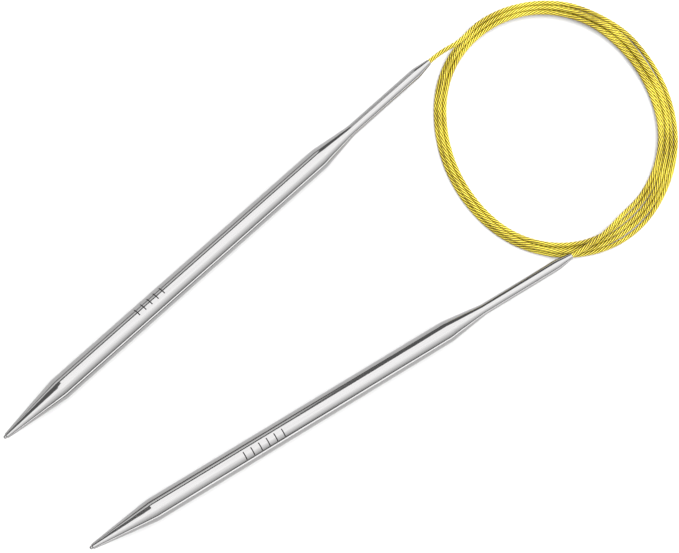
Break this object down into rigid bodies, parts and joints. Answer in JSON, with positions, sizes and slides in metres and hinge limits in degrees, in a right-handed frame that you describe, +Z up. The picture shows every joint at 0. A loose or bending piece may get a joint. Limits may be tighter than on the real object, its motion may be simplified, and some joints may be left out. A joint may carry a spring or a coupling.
{
  "type": "circular knitting needle",
  "caption": "Fixed circular knitting needle: two hollow polished steel needles joined by a long, coiled, coated wire rope.",
  "frame": {"origin": "on the surface that the needles lie on, under the middle of the pair of needles", "axes": "+X midway between the two needles, from their points towards the rope's ring; +Z up from the surface; +Y towards the upper needle"},
  "size_m": [0.2061, 0.0717, 0.006],
  "materials": {
    "polished_steel": "bright polished stainless steel",
    "crimp_brass": "satin brass",
    "rope_wire": "bright drawn wire",
    "rope_coat": "thin glossy yellow nylon",
    "coated_rope": "yellow coated wire rope, glossy"
  },
  "bodies": {
    "rope": {"rope_ring": "coated_rope", "upper_rope_tail": "coated_rope", "lower_rope_tail": "coated_rope"},
    "upper_needle": {"upper_needle_tube": "polished_steel", "upper_point_plug": "polished_steel", "upper_crimp_sleeve": "crimp_brass", "upper_coat_end": "rope_coat", "upper_core_strand": "rope_wire", "upper_outer_strand_1": "rope_wire", "upper_outer_strand_2": "rope_wire", "upper_outer_strand_3": "rope_wire", "upper_outer_strand_4": "rope_wire", "upper_outer_strand_5": "rope_wire", "upper_outer_strand_6": "rope_wire", "upper_rope_exit": "coated_rope"},
    "lower_needle": {"lower_needle_tube": "polished_steel", "lower_point_plug": "polished_steel", "lower_crimp_sleeve": "crimp_brass", "lower_coat_end": "rope_coat", "lower_core_strand": "rope_wire", "lower_outer_strand_1": "rope_wire", "lower_outer_strand_2": "rope_wire", "lower_outer_strand_3": "rope_wire", "lower_outer_strand_4": "rope_wire", "lower_outer_strand_5": "rope_wire", "lower_outer_strand_6": "rope_wire", "lower_rope_exit": "coated_rope"}
  },
  "joints": [
    {"name": "upper_needle_swing", "type": "hinge", "parent": "rope", "child": "upper_needle", "pos_m": [0.0804, 0.03222, 0.003], "axis": [0, 0, 1], "range_deg": [-40, 6], "stiffness_Nm_per_rad": 0.01},
    {"name": "lower_needle_swing", "type": "hinge", "parent": "rope", "child": "lower_needle", "pos_m": [0.0806, -0.03251, 0.003], "axis": [0, 0, 1], "range_deg": [-3, 40], "stiffness_Nm_per_rad": 0.01}
  ]
}
